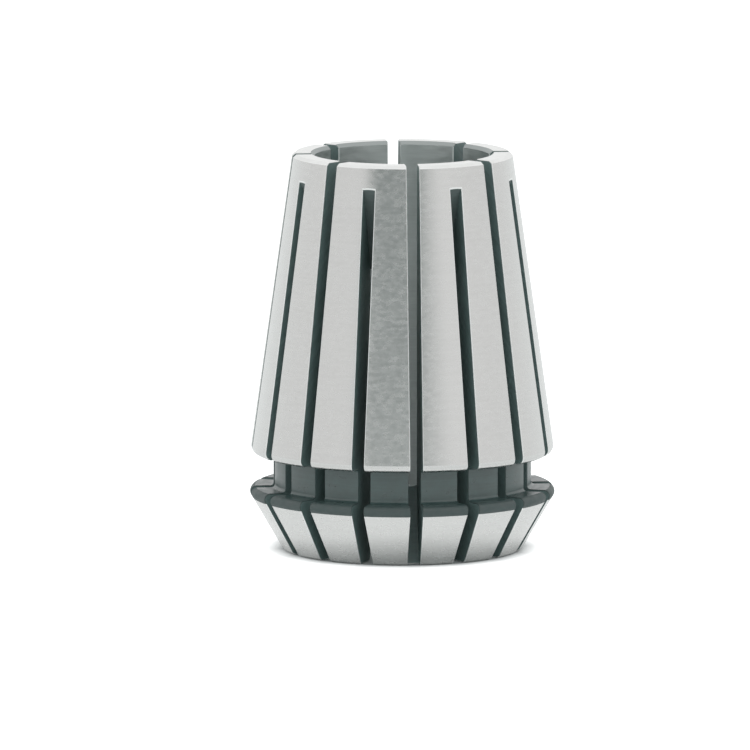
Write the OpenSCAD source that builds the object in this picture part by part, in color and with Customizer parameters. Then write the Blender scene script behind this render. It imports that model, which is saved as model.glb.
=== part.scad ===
// Spring collet with an 8 degree taper, slotted from both ends.
// The front face is at z = 0 and the small rear end points up.

/* [Body] */
// Overall length, from the front face to the rear face
overall_l = 34; // [30:0.5:38]
// Diameter of the taper at its large end, before the corner is rounded
taper_d = 26; // [25:0.25:28]
// Angle between the taper and the axis, in degrees
taper_angle = 8; // [6:0.5:9]
// Radius on the corner at the large end of the taper
taper_corner_r = 0.6; // [0.3:0.05:1]
// Chamfer on the outer edge of the rear face
rear_chamfer = 0.25; // [0.1:0.05:0.5]

/* [Bore] */
// Diameter of the bore that grips the shank
bore_d = 15; // [8:0.5:16]
// Chamfer at both mouths of the bore
bore_chamfer = 0.3; // [0.1:0.05:0.5]

/* [Nose and groove] */
// Diameter over the rim of the nose
nose_d = 26; // [25:0.25:28]
// Angle between the nose cone and the axis, in degrees
nose_angle = 30; // [25:1:35]
// Height of the widest part of the rim above the front face
rim_z = 4.9; // [4.5:0.1:5.5]
// Radius on the rim of the nose
rim_r = 0.5; // [0.3:0.05:0.7]
// Chamfer on the outer edge of the front face
front_chamfer = 0.15; // [0.05:0.05:0.4]
// Diameter at the bottom of the extraction groove
groove_d = 22; // [20:0.5:23]
// Width of the groove, between its two flanks
groove_w = 2.85; // [2:0.05:4]
// Fillet where the flanks meet the bottom of the groove
groove_fillet = 0.3; // [0.1:0.05:0.5]

/* [Slots] */
// Slots that open at each end; the two sets alternate around the body
slots_per_end = 8; // [4:1:8]
// Width of a slot, which is the thickness of the saw
slot_w = 1.05; // [0.8:0.05:1.2]
// Diameter of the saw that cuts the slots
saw_d = 63; // [50:1:80]
// How far the saw passes through the wall into the bore
saw_reach = 0.5; // [0.3:0.05:0.8]
// Height of the web in front of the slots from the rear, at the bore
front_web = 6.45; // [5.5:0.05:7]
// Height of the web behind the slots from the front, at the outside
rear_web = 1.95; // [1.5:0.05:3]

/* [Hidden] */
$fn = 128;

// How far a cutter runs past what it cuts
overcut = 1;

bore_r = bore_d / 2;
groove_r = groove_d / 2;

// The nose cone touches the rounded rim at this point
rim_center_r = nose_d / 2 - rim_r;
cone_top_r = rim_center_r + rim_r * cos(nose_angle);
cone_top_z = rim_z - rim_r * sin(nose_angle);

// Radius of the nose cone at a height
function nose_r(z) = cone_top_r - (cone_top_z - z) * tan(nose_angle);

// Flanks of the groove
lower_flank = rim_z + rim_r;
upper_flank = lower_flank + groove_w;

// Center of the rounded corner at the large end, which touches the flank and the taper
corner_center_r = taper_d / 2 - taper_corner_r * tan(taper_angle) - taper_corner_r / cos(taper_angle);
corner_center_z = upper_flank + taper_corner_r;
taper_start_r = corner_center_r + taper_corner_r * cos(taper_angle);
taper_start_z = corner_center_z + taper_corner_r * sin(taper_angle);

// Radius of the taper at a height
function taper_r(z) = taper_d / 2 - (z - upper_flank) * tan(taper_angle);

// Center of the saw, and its half height at a radius
saw_r = saw_d / 2;
saw_center_r = bore_r - saw_reach + saw_r;
function saw_half(r) = sqrt(pow(saw_r, 2) - pow(saw_center_r - r, 2));

// Where the saw stops on its way to each end
rear_web_z = overall_l - rear_web;
saw_low = front_web + saw_half(bore_r);
saw_high = rear_web_z - saw_half(taper_r(rear_web_z));

// Half of the turned section, in radius and height, with flat steps where the arcs go
module section_blank() {
    polygon([
        [bore_r + bore_chamfer, 0],
        [nose_r(0) - front_chamfer, 0],
        [nose_r(front_chamfer), front_chamfer],
        [cone_top_r, cone_top_z],
        [rim_center_r, rim_z],
        [rim_center_r, lower_flank],
        [groove_r + groove_fillet, lower_flank],
        [groove_r + groove_fillet, lower_flank + groove_fillet],
        [groove_r, lower_flank + groove_fillet],
        [groove_r, upper_flank - groove_fillet],
        [groove_r + groove_fillet, upper_flank - groove_fillet],
        [groove_r + groove_fillet, upper_flank],
        [corner_center_r, upper_flank],
        [corner_center_r, corner_center_z],
        [taper_start_r, taper_start_z],
        [taper_r(overall_l - rear_chamfer), overall_l - rear_chamfer],
        [taper_r(overall_l) - rear_chamfer, overall_l],
        [bore_r + bore_chamfer, overall_l],
        [bore_r, overall_l - bore_chamfer],
        [bore_r, bore_chamfer]
    ]);
}

// The turned and bored blank, before it is slotted
module blank() {
    fillet_r = groove_r + groove_fillet;
    rotate_extrude() difference() {
        union() {
            section_blank();
            translate([rim_center_r, rim_z]) circle(r = rim_r);
            translate([corner_center_r, corner_center_z]) circle(r = taper_corner_r);
        }
        for (z = [lower_flank + groove_fillet, upper_flank - groove_fillet])
            translate([fillet_r, z]) circle(r = groove_fillet);
    }
}

// A cut along the radius on +X, from where the saw stops to past one end of the blank
module saw_cut(stop_z, end_z) {
    translate([saw_center_r, 0, stop_z]) rotate([90, 0, 0]) cylinder(r = saw_r, h = slot_w, center = true);
    translate([saw_center_r - saw_r, -slot_w / 2, min(stop_z, end_z)])
        cube([saw_r, slot_w, abs(end_z - stop_z)]);
}

module collet() {
    pitch = 360 / slots_per_end;
    color("silver") difference() {
        blank();
        for (i = [0 : slots_per_end - 1]) {
            rotate([0, 0, i * pitch - 90]) saw_cut(saw_low, overall_l + overcut);
            rotate([0, 0, (i + 0.5) * pitch - 90]) saw_cut(saw_high, -overcut);
        }
    }
}

collet();
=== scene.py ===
"""Looks of the slotted spring collet: the ground, slotted and edge-broken body, and the studio round it."""

import math

import bmesh
import bpy
from mathutils import Matrix, Vector


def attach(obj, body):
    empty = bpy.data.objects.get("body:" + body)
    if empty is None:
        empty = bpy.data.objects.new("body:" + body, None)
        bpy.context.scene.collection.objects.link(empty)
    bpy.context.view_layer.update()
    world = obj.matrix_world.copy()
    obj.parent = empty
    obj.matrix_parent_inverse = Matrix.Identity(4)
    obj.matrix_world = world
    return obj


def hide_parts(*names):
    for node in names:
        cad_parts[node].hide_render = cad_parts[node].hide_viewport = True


MM = 0.001
MM_PER_M = 1000.0

# The collet's sizes in millimetres and degrees, as in its source
LENGTH = 34.0
TAPER_R = 13.0
TAPER_ANGLE = math.radians(8)
TAPER_CORNER = 0.6
REAR_CHAMFER = 0.25
BORE_R = 7.5
BORE_CHAMFER = 0.3
NOSE_R = 13.0
NOSE_ANGLE = math.radians(30)
RIM_Z = 4.9
RIM_ROUND = 0.5
FRONT_CHAMFER = 0.15
GROOVE_R = 11.0
GROOVE_WIDTH = 2.85
GROOVE_FILLET = 0.3
SLOTS_PER_END = 8
SLOT_WIDTH = 1.05
SAW_R = 31.5
SAW_REACH = 0.5
FRONT_WEB = 6.45
REAR_WEB = 1.95

# What the finished part has besides: broken edges. A painted shade over the rim reaches a little way down
# the nose cone
EDGE_BREAK = 0.08
RIM_SHADE_OVERLAP = 0.12

# How far a saw cut runs past the blank, how finely the arcs are drawn, how near two points are one,
# and what still counts as nothing
OVERCUT = 1.0
RIM_STEPS = 12
FILLET_STEPS = 6
CORNER_STEPS = 10
SAW_STEPS = 256
MERGE = 1e-4
TINY = 1e-6

# Columns of faces on the blank, in degrees from a slot's middle: its open space, its wall, and the land
OPEN_COLUMN = 1.5
WALL_COLUMN = 3.7
LAND_STEPS = 8

# Edges that turn more than this are broken, and faces that turn less roll into one another
SHARP_TURN = math.radians(15)
ROLL_TURN = math.radians(25)

# A corner whose normal agrees less than this with its face takes the face's own
LEAST_AGREEMENT = 0.3

# How far past a size a face may lie and still belong to it
MARGIN = 0.01
BORE_MARGIN = 0.05

# The room is darker in front, between two turns in degrees round from the front, each softened over
# a stretch, and open above this stretch of the way up
DARK_LEFT = -45, -33
DARK_RIGHT = 2, 36
DARK_COLOR = 0.28, 0.315, 0.31, 1
WHITE = 1, 1, 1, 1
OPEN_ABOVE = 0.25, 0.5

# Its light falls to this level toward the sides, over this stretch of the way across
SIDE_LEVEL = 0.9
SIDE_STRETCH = 0.4, 0.95

# A low soft lamp in front, in metres
LAMP_PLACE = -0.03, -0.2, 0.015
LAMP_SIZE = 0.2, 0.03
LAMP_LEVEL = 0.4

# The floor reaches this many metres each way, and lies this many millimetres under the collet
FLOOR_REACH = 3
FLOOR_DROP = 0.02
FLOOR_COLOR = 0.65, 0.68, 0.68, 1

# The open floor is lifted to white, to the camera and in the steel. Close to the nose it keeps its own
# shade. In the steel the lift is painted light: it rises from nothing at the nose's foot to its brightest
# just past the nose, then falls off farther out, a painted glow round the collet. Each row is a level, and
# the stretch in millimetres from the axis over which it is reached
SEEN_LIFT = 0.8, 10.0, 11.8
MIRRORED_LIFT = 0.54, 10.8, 13.1
FAR_LIFT = 0.34, 14.0, 24.0

# To the left and right the shade that the steel mirrors is narrower by this
SIDE_NARROWING = 1.1

# Steel's mirror strength, and how much its roughness goes up and down
STEEL_IOR = 1.75
ROUGH_SPREAD = 0.15

# The photograph's view. Its middle is this far across and up, in millimetres
VIEW_TURN = math.radians(5.35)
VIEW_TILT = math.radians(8.25)
VIEW_ACROSS = -2.33
VIEW_UP = 14.84
VIEW_DISTANCE = 1200.0
PIXELS_PER_MM = 11.72
PICTURE_WIDTH = 750
SENSOR_WIDTH = 36
CLIP_START = 0.1
CLIP_END = 20

# Places worked out from the sizes
RIM_CENTER = NOSE_R - RIM_ROUND
CONE_TOP_R = RIM_CENTER + RIM_ROUND * math.cos(NOSE_ANGLE)
CONE_TOP_Z = RIM_Z - RIM_ROUND * math.sin(NOSE_ANGLE)
LOWER_FLANK = RIM_Z + RIM_ROUND
UPPER_FLANK = LOWER_FLANK + GROOVE_WIDTH
RIM_SHADE_FROM = CONE_TOP_Z - RIM_SHADE_OVERLAP
CORNER_R = TAPER_R - TAPER_CORNER * (math.tan(TAPER_ANGLE) + 1 / math.cos(TAPER_ANGLE))
CORNER_Z = UPPER_FLANK + TAPER_CORNER
SAW_CENTER = BORE_R - SAW_REACH + SAW_R
PITCH = 360 / SLOTS_PER_END
LAND_COLUMN = PITCH / 2 - 2 * (OPEN_COLUMN + WALL_COLUMN)

# Finishes, in the order of the material slots
GROUND, SAWN, SHADED_ROOT, TURNED, SHADED_RIM, HONED, MOUTH, HIGHLIGHT_EDGE = range(8)


def nose_r(z):
    return CONE_TOP_R - (CONE_TOP_Z - z) * math.tan(NOSE_ANGLE)


def taper_r(z):
    return TAPER_R - (z - UPPER_FLANK) * math.tan(TAPER_ANGLE)


def saw_half(r):
    return math.sqrt(SAW_R**2 - (SAW_CENTER - r) ** 2)


def turned_section(bm):
    """The section of the blank as a ring of edges, drawn as the turning tool would follow it."""
    pen = start = bm.verts.new((BORE_R + BORE_CHAMFER, 0, 0))

    def line(r, z):
        nonlocal pen
        pen = bmesh.ops.extrude_vert_indiv(bm, verts=[pen])["verts"][0]
        pen.co = r, 0, z

    def arc(r, z, degrees, steps):
        nonlocal pen
        turn = dict(cent=(r, 0, z), axis=(0, -1, 0), angle=math.radians(degrees), steps=steps)
        last = bmesh.ops.spin(bm, geom=[pen], **turn)["geom_last"]
        pen = next(g for g in last if isinstance(g, bmesh.types.BMVert))

    fillet_r = GROOVE_R + GROOVE_FILLET
    line(nose_r(0) - FRONT_CHAMFER, 0)
    line(nose_r(FRONT_CHAMFER), FRONT_CHAMFER)
    line(nose_r(RIM_SHADE_FROM), RIM_SHADE_FROM)
    line(CONE_TOP_R, CONE_TOP_Z)
    arc(RIM_CENTER, RIM_Z, 90 + math.degrees(NOSE_ANGLE), RIM_STEPS)
    line(fillet_r, LOWER_FLANK)
    arc(fillet_r, LOWER_FLANK + GROOVE_FILLET, -90, FILLET_STEPS)
    line(GROOVE_R, UPPER_FLANK - GROOVE_FILLET)
    arc(fillet_r, UPPER_FLANK - GROOVE_FILLET, -90, FILLET_STEPS)
    line(CORNER_R, UPPER_FLANK)
    arc(CORNER_R, CORNER_Z, 90 + math.degrees(TAPER_ANGLE), CORNER_STEPS)
    line(taper_r(LENGTH - REAR_CHAMFER), LENGTH - REAR_CHAMFER)
    line(taper_r(LENGTH) - REAR_CHAMFER, LENGTH)
    line(BORE_R + BORE_CHAMFER, LENGTH)
    line(BORE_R, LENGTH - BORE_CHAMFER)
    line(BORE_R, BORE_CHAMFER)
    bm.edges.new((pen, start))
    bmesh.ops.rotate(bm, verts=bm.verts, matrix=Matrix.Rotation(math.radians(-90), 3, "Z"))


def mesh_object(name, bm):
    mesh = bpy.data.meshes.new(name)
    bm.to_mesh(mesh)
    bm.free()
    obj = bpy.data.objects.new(name, mesh)
    bpy.context.scene.collection.objects.link(obj)
    return obj


def blank():
    """The turned blank. No slot wall crosses from one of its columns of faces into the next."""
    side = (OPEN_COLUMN, 1), (WALL_COLUMN, 1)
    columns = *side, (LAND_COLUMN, LAND_STEPS), *reversed(side)
    bm = bmesh.new()
    turned_section(bm)
    last = bm.verts[:] + bm.edges[:]
    for _ in range(2 * SLOTS_PER_END):
        for degrees, steps in columns:
            turn = dict(axis=(0, 0, 1), angle=math.radians(degrees), steps=steps)
            last = bmesh.ops.spin(bm, geom=last, cent=(0, 0, 0), **turn)["geom_last"]
    bmesh.ops.remove_doubles(bm, verts=bm.verts, dist=MERGE)
    bmesh.ops.recalc_face_normals(bm, faces=bm.faces)
    return mesh_object("blank", bm)


def saws():
    """The space of all the saw cuts: a disc where each saw stops, drawn out past one end of the blank."""
    bm = bmesh.new()
    rear_web_z = LENGTH - REAR_WEB
    from_rear = FRONT_WEB + saw_half(BORE_R), LENGTH + OVERCUT
    from_front = rear_web_z - saw_half(taper_r(rear_web_z)), -OVERCUT
    upright = Matrix.Rotation(math.radians(90), 4, "X")
    for i in range(2 * SLOTS_PER_END):
        # The strips at the blind ends of the front-open slots get a darker copy of the sawn colour: painted
        # shade that dims these lit run-outs to the dark of the deep slots
        (stop, end), root = ((from_rear, SAWN), (from_front, SHADED_ROOT))[i % 2]
        place = Matrix.Translation((SAW_CENTER, -SLOT_WIDTH / 2, stop)) @ upright
        circle = dict(cap_ends=True, segments=SAW_STEPS, radius=SAW_R, matrix=place)
        disc = bmesh.ops.create_circle(bm, **circle)["verts"]
        for v in disc:
            if (v.co.z - stop) * (end - stop) > TINY:
                v.co.z = end
        face = disc[0].link_faces[0]
        grown = bmesh.ops.extrude_face_region(bm, geom=[face])["geom"]
        far = [g for g in grown if isinstance(g, bmesh.types.BMVert)]
        bmesh.ops.translate(bm, verts=far, vec=(0, SLOT_WIDTH, 0))
        # The slot's walls have many corners, and the strips that the saw's rim leaves have four
        for side in {f for v in disc + far for f in v.link_faces}:
            side.material_index = SAWN if len(side.verts) > 4 else root
        turn = Matrix.Rotation(math.radians(i * PITCH / 2 - 90), 3, "Z")
        bmesh.ops.rotate(bm, verts=disc + far, cent=(0, 0, 0), matrix=turn)
    bmesh.ops.recalc_face_normals(bm, faces=bm.faces)
    return mesh_object("saws", bm)


def slotted(body, cutter):
    """The body with the saw cuts taken out, as a new mesh that keeps which faces the saw made."""
    for obj in (body, cutter):
        for _ in range(SHADED_ROOT + 1):
            obj.data.materials.append(None)
    cut = body.modifiers.new("slots", "BOOLEAN")
    cut.object, cut.operation, cut.solver, cut.material_mode = cutter, "DIFFERENCE", "EXACT", "INDEX"
    bpy.context.view_layer.update()
    made = bpy.data.meshes.new_from_object(body.evaluated_get(bpy.context.evaluated_depsgraph_get()))
    for obj in (body, cutter):
        bpy.data.objects.remove(obj)
    return made


def sharp_edges(bm):
    """The outward edges where a saw cut leaves the turned surface."""

    def turned(face):
        return face.material_index == GROUND

    def along_a_cut(edge):
        return any(turned(f) for f in edge.link_faces) and not all(turned(f) for f in edge.link_faces)

    return [e for e in bm.edges if along_a_cut(e) and e.calc_face_angle_signed() > SHARP_TURN]


def profile_normal(face, at):
    """The normal at a point of the turned surface that the face is a flat piece of."""
    out = face.calc_center_median().xy.normalized()
    here = at.xy.normalized()
    return (here * face.normal.xy.dot(out)).to_3d() + Vector((0, 0, face.normal.z))


def corner_normals(bm, broken):
    """One normal for each corner of each face.

    Flats stay flat, arcs roll, and a broken edge rolls from one face to the other.
    """
    roll = math.cos(ROLL_TURN)
    areas = {f: f.calc_area() for f in bm.faces}

    def cut(face):
        return face.material_index in (SAWN, SHADED_ROOT)

    def plain(face, at):
        return face.normal if cut(face) else profile_normal(face, at)

    normals = []
    for face in bm.faces:
        for loop in face.loops:
            v = loop.vert
            near = [f for f in v.link_faces if f not in broken]
            total = Vector()
            if near:
                nearest = max(near, key=lambda f: plain(f, v.co).dot(face.normal))
                lead = nearest if face in broken else face
                own = plain(lead, v.co)
                for f in near:
                    n = plain(f, v.co)
                    if cut(f) == cut(lead) and n.dot(own) > roll:
                        total += n * areas[f]
            else:
                for f in v.link_faces:
                    total += f.normal
            normal = total.normalized()
            normals.append(normal if normal.dot(face.normal) > LEAST_AGREEMENT else face.normal)
    return normals


def finish_of(face, broken):
    """Which finish a face that the saw didn't make has, by where it is on the turned blank."""
    middle = face.calc_center_median()
    r, z = middle.xy.length, middle.z
    if r < BORE_R + BORE_MARGIN:
        return HONED
    if r < BORE_R + BORE_CHAMFER:
        return MOUTH
    # The rear face and the broken edges get a lighter copy of the ground steel: a painted highlight
    if z > LENGTH - REAR_CHAMFER - MARGIN:
        return HIGHLIGHT_EDGE
    # The rim and the top of the nose cone get a dark colour that is painted shade, the shade of the dark
    # flank the rim mirrors
    if RIM_SHADE_FROM < z < LOWER_FLANK - MARGIN:
        return SHADED_RIM
    if LOWER_FLANK - 2 * MARGIN < z < UPPER_FLANK + 2 * MARGIN:
        return TURNED
    return HIGHLIGHT_EDGE if face in broken else GROUND


def collet():
    """The collet in one mesh: the slotted blank with its edges broken and a finish on every face."""
    bm = bmesh.new()
    bm.from_mesh(slotted(blank(), saws()))
    bmesh.ops.remove_doubles(bm, verts=bm.verts, dist=MERGE)
    bmesh.ops.dissolve_degenerate(bm, edges=bm.edges, dist=MERGE)
    rounding = dict(offset=EDGE_BREAK, segments=2, profile=0.5, affect="EDGES", material=-1)
    broken = set(bmesh.ops.bevel(bm, geom=sharp_edges(bm), clamp_overlap=False, **rounding)["faces"])
    bm.normal_update()
    normals = corner_normals(bm, broken)
    for face in bm.faces:
        face.smooth = True
        if face in broken or face.material_index == GROUND:
            face.material_index = finish_of(face, broken)
    obj = mesh_object("collet_body", bm)
    obj.data.normals_split_custom_set(normals)
    obj.data.transform(Matrix.Scale(MM, 4))
    return obj


def node(tree, kind, links=None, **settings):
    """A new node with its settings, and its inputs fed from the sockets or set to the values in links."""
    made = tree.nodes.new(kind)
    for name, value in settings.items():
        setattr(made, name, value)
    for name, source in (links or {}).items():
        if isinstance(source, bpy.types.NodeSocket):
            tree.links.new(source, made.inputs[name])
        else:
            made.inputs[name].default_value = source
    return made


def math_node(tree, operation, *values):
    """The result of one sum of up to three sockets or numbers."""
    return node(tree, "ShaderNodeMath", dict(enumerate(values)), operation=operation).outputs[0]


def vector_node(tree, operation, *values):
    """The outputs of one operation on one or two vectors."""
    return node(tree, "ShaderNodeVectorMath", dict(enumerate(values)), operation=operation).outputs


def turning_coordinate(tree, along, across):
    """Object coordinates in millimetres, in which a noise runs in lines round every turned face."""
    place = node(tree, "ShaderNodeTexCoord").outputs["Object"]
    flat = vector_node(tree, "MULTIPLY", place, (MM_PER_M, MM_PER_M, 0))[0]
    radius = vector_node(tree, "LENGTH", flat)["Value"]
    height = node(tree, "ShaderNodeSeparateXYZ", {0: place}).outputs["Z"]
    depth = math_node(tree, "MULTIPLY_ADD", height, MM_PER_M, radius)
    stretched = math_node(tree, "MULTIPLY", depth, across)
    round_axis = vector_node(tree, "MULTIPLY", flat, (along,) * 3)[0]
    upward = node(tree, "ShaderNodeCombineXYZ", {"Z": stretched}).outputs[0]
    return vector_node(tree, "ADD", round_axis, upward)[0]


def noise(tree, where, detail, rough=0.5):
    links = {"Vector": where, "Scale": 1.0, "Detail": detail, "Roughness": rough}
    return node(tree, "ShaderNodeTexNoise", links).outputs[0]


def ranged(tree, value, low, high, start=0.3, end=0.7, smooth=False):
    """From low to high while the value goes from start to end, which is where most of a noise lies."""
    links = {"Value": value, "From Min": start, "From Max": end, "To Min": low, "To Max": high}
    kind = "SMOOTHSTEP" if smooth else "LINEAR"
    return node(tree, "ShaderNodeMapRange", links, interpolation_type=kind).outputs[0]


def mixed(tree, share, one, other):
    """From one colour to the other by the share."""
    return node(tree, "ShaderNodeMix", {"Factor": share, 6: one, 7: other}, data_type="RGBA").outputs[2]


def bump(tree, height, depth, below=None):
    links = {"Height": height, "Strength": 1.0, "Distance": depth * MM}
    if below is not None:
        links["Normal"] = below
    return node(tree, "ShaderNodeBump", links).outputs[0]


def steel(name, color, rough, lines, patches, metallic=1.0, shade=0.05):
    """A steel finish with fine lines and broad patches, whose colour goes up and down by shade.

    lines and patches are (along, across, depth): how often they repeat in a millimetre, and their depth.
    """
    mat = bpy.data.materials.new(name)
    mat.use_nodes = True
    tree = mat.node_tree
    shader = tree.nodes["Principled BSDF"]
    shader.inputs["Metallic"].default_value = metallic
    shader.inputs["IOR"].default_value = STEEL_IOR
    fine = noise(tree, turning_coordinate(tree, *lines[:2]), detail=2, rough=0.55)
    broad = noise(tree, turning_coordinate(tree, *patches[:2]), detail=1)
    dark, light = [tuple(c * k for c in color) + (1,) for k in (1 - shade, 1 + shade)]
    tone = ranged(tree, math_node(tree, "ADD", fine, broad), 0, 1, start=0.7, end=1.3)
    tree.links.new(mixed(tree, tone, dark, light), shader.inputs["Base Color"])
    spread = rough * (1 - ROUGH_SPREAD), rough * (1 + ROUGH_SPREAD)
    tree.links.new(ranged(tree, broad, *spread), shader.inputs["Roughness"])
    cut = bump(tree, fine, lines[2])
    tree.links.new(bump(tree, broad, patches[2], cut), shader.inputs["Normal"])
    return mat


def finishes():
    """Ground, sawn, root, turned, rim, honed, mouth and edge, in the order of their numbers. Root and rim
    carry painted shade, and edge a painted highlight.
    """
    sawn = dict(lines=(0.5, 6, 0.01), patches=(0.7, 2.5, 0.01), metallic=0.0, shade=0.15)
    turned = dict(lines=(0.25, 6, 0.006), patches=(1.2, 1.6, 0.008), metallic=0.0, shade=0.18)
    rim = dict(lines=(0.25, 6, 0.01), patches=(1.5, 2.5, 0.01), metallic=0.0, shade=0.12)
    return (
        steel("ground_steel", (0.645, 0.645, 0.635), 0.25, (0.3, 5, 0.002), (1.8, 3.4, 0.0008), shade=0.025),
        steel("sawn_steel", (0.13, 0.195, 0.19), 0.55, **sawn),
        # A darker copy of the sawn steel: painted shade on the lit run-outs of the front-open slots
        steel("slot_root_painted_shade_steel", (0.055, 0.085, 0.082), 0.6, **sawn),
        steel("turned_steel", (0.053, 0.091, 0.088), 0.32, **turned),
        # The rim's dark colour is painted shade, standing in for the dark groove flank that the rim mirrors
        steel("rim_painted_shade_steel", (0.038, 0.064, 0.062), 0.6, **rim),
        steel("honed_steel", (0.68, 0.72, 0.71), 0.35, (0.25, 6, 0.006), (0.7, 2.5, 0.008)),
        steel("mouth_steel", (0.37, 0.4, 0.395), 0.45, (0.25, 6, 0.004), (0.7, 2.5, 0.006)),
        # A lighter copy of the ground steel: painted highlight on the broken edges and the rear face
        steel("edge_highlight_steel", (0.8, 0.81, 0.8), 0.35, (0.25, 6, 0.002), (0.7, 2.5, 0.002)),
    )


def studio():
    """A plain white room, darker where the camera stands. To the camera itself it is white all round."""
    world = bpy.data.worlds.new("studio")
    bpy.context.scene.world = world
    world.use_nodes = True
    tree = world.node_tree
    background = tree.nodes["Background"].inputs
    direction = node(tree, "ShaderNodeTexCoord").outputs["Generated"]
    way = node(tree, "ShaderNodeSeparateXYZ", {0: direction}).outputs
    seen = node(tree, "ShaderNodeLightPath").outputs["Is Camera Ray"]
    toward = math_node(tree, "MULTIPLY", way["Y"], -1.0)
    turn = math_node(tree, "ARCTAN2", way["X"], toward)
    left = ranged(tree, turn, 1, 0, *map(math.radians, DARK_LEFT), smooth=True)
    right = ranged(tree, turn, 0, 1, *map(math.radians, DARK_RIGHT), smooth=True)
    above = ranged(tree, way["Z"], 0, 1, *OPEN_ABOVE, smooth=True)
    white = math_node(tree, "MAXIMUM", math_node(tree, "MAXIMUM", left, right), above)
    white = math_node(tree, "MAXIMUM", white, seen)
    tree.links.new(mixed(tree, white, DARK_COLOR, WHITE), background["Color"])
    across = math_node(tree, "ABSOLUTE", way["X"])
    level = ranged(tree, across, 1, SIDE_LEVEL, *SIDE_STRETCH, smooth=True)
    tree.links.new(math_node(tree, "MAXIMUM", level, seen), background["Strength"])


def low_lamp():
    """A wide soft lamp low in front, turned to the middle of the collet."""
    data = bpy.data.lights.new("low_front", "AREA")
    data.shape = "RECTANGLE"
    data.size, data.size_y = LAMP_SIZE
    data.energy = LAMP_LEVEL * LAMP_SIZE[0] * LAMP_SIZE[1] * math.pi
    obj = bpy.data.objects.new("low_front", data)
    obj.location = LAMP_PLACE
    obj.rotation_mode = "QUATERNION"
    toward = Vector((0, 0, LENGTH / 2 * MM)) - Vector(LAMP_PLACE)
    obj.rotation_quaternion = toward.to_track_quat("-Z", "Y")
    obj.visible_camera = False
    bpy.context.scene.collection.objects.link(obj)


def white_floor():
    """The floor's material. It shows white where it is open, and keeps the contact shadow. In the steel it
    shows a painted glow, brightest in a ring just past the nose.
    """
    mat = bpy.data.materials.new("floor")
    mat.use_nodes = True
    tree = mat.node_tree
    shader = tree.nodes["Principled BSDF"]
    shader.inputs["Base Color"].default_value = FLOOR_COLOR
    shader.inputs["Roughness"].default_value = 1
    shader.inputs["Specular IOR Level"].default_value = 0
    shader.inputs["Emission Color"].default_value = WHITE
    place = node(tree, "ShaderNodeTexCoord").outputs["Object"]
    away = vector_node(tree, "LENGTH", place)["Value"]
    narrowed = vector_node(tree, "MULTIPLY", place, (SIDE_NARROWING, 1, 1))[0]
    mirrored_away = vector_node(tree, "LENGTH", narrowed)["Value"]

    def over(distance, start, end, low, high):
        return ranged(tree, distance, low, high, start * MM, end * MM)

    level, start, end = MIRRORED_LIFT
    far_level, far_start, far_end = FAR_LIFT
    near = over(mirrored_away, start, end, 0, 1)
    far = over(mirrored_away, far_start, far_end, level, far_level)
    painted_glow_in_steel = math_node(tree, "MULTIPLY", near, far)
    level, start, end = SEEN_LIFT
    seen = over(away, start, end, 0, level)
    ray = node(tree, "ShaderNodeLightPath").outputs
    mirrored = math_node(tree, "MAXIMUM", ray["Is Glossy Ray"], ray["Is Transmission Ray"])
    strength = math_node(tree, "MULTIPLY_ADD", seen, ray["Is Camera Ray"], 0.0)
    strength = math_node(tree, "MULTIPLY_ADD", painted_glow_in_steel, mirrored, strength)
    tree.links.new(strength, shader.inputs["Emission Strength"])
    return mat


def floor():
    """A white floor just under the collet."""
    bm = bmesh.new()
    bmesh.ops.create_grid(bm, x_segments=1, y_segments=1, size=FLOOR_REACH)
    obj = mesh_object("floor", bm)
    obj.data.transform(Matrix.Translation((0, 0, -FLOOR_DROP * MM)))
    obj.data.materials.append(white_floor())


def camera():
    """Stands where the photograph was taken from, far off and a little above."""
    across = Vector((math.cos(VIEW_TURN), -math.sin(VIEW_TURN), 0))
    level = Vector((math.sin(VIEW_TURN), math.cos(VIEW_TURN), 0))
    ahead = level * math.cos(VIEW_TILT) - Vector((0, 0, math.sin(VIEW_TILT)))
    aim = (across * VIEW_ACROSS + Vector((0, 0, VIEW_UP))) * MM
    data = bpy.data.cameras.new("camera")
    data.sensor_width = SENSOR_WIDTH
    data.lens = VIEW_DISTANCE * PIXELS_PER_MM * SENSOR_WIDTH / PICTURE_WIDTH
    data.clip_start, data.clip_end = CLIP_START, CLIP_END
    obj = bpy.data.objects.new("camera", data)
    obj.location = aim - ahead * VIEW_DISTANCE * MM
    obj.rotation_mode = "QUATERNION"
    obj.rotation_quaternion = ahead.to_track_quat("-Z", "Y")
    bpy.context.scene.collection.objects.link(obj)
    bpy.context.scene.camera = obj


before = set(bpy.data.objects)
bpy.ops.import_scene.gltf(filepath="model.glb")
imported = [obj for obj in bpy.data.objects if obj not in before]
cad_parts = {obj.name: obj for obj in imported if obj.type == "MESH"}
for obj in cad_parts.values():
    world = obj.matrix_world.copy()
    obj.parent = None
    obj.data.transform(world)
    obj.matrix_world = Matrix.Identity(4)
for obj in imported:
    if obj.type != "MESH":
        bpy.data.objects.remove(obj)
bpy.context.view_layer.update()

body = collet()
for finish in finishes():
    body.data.materials.append(finish)
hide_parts("collet")
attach(body, "root")

studio()
low_lamp()
floor()
camera()
bpy.context.scene.view_settings.view_transform = "Standard"
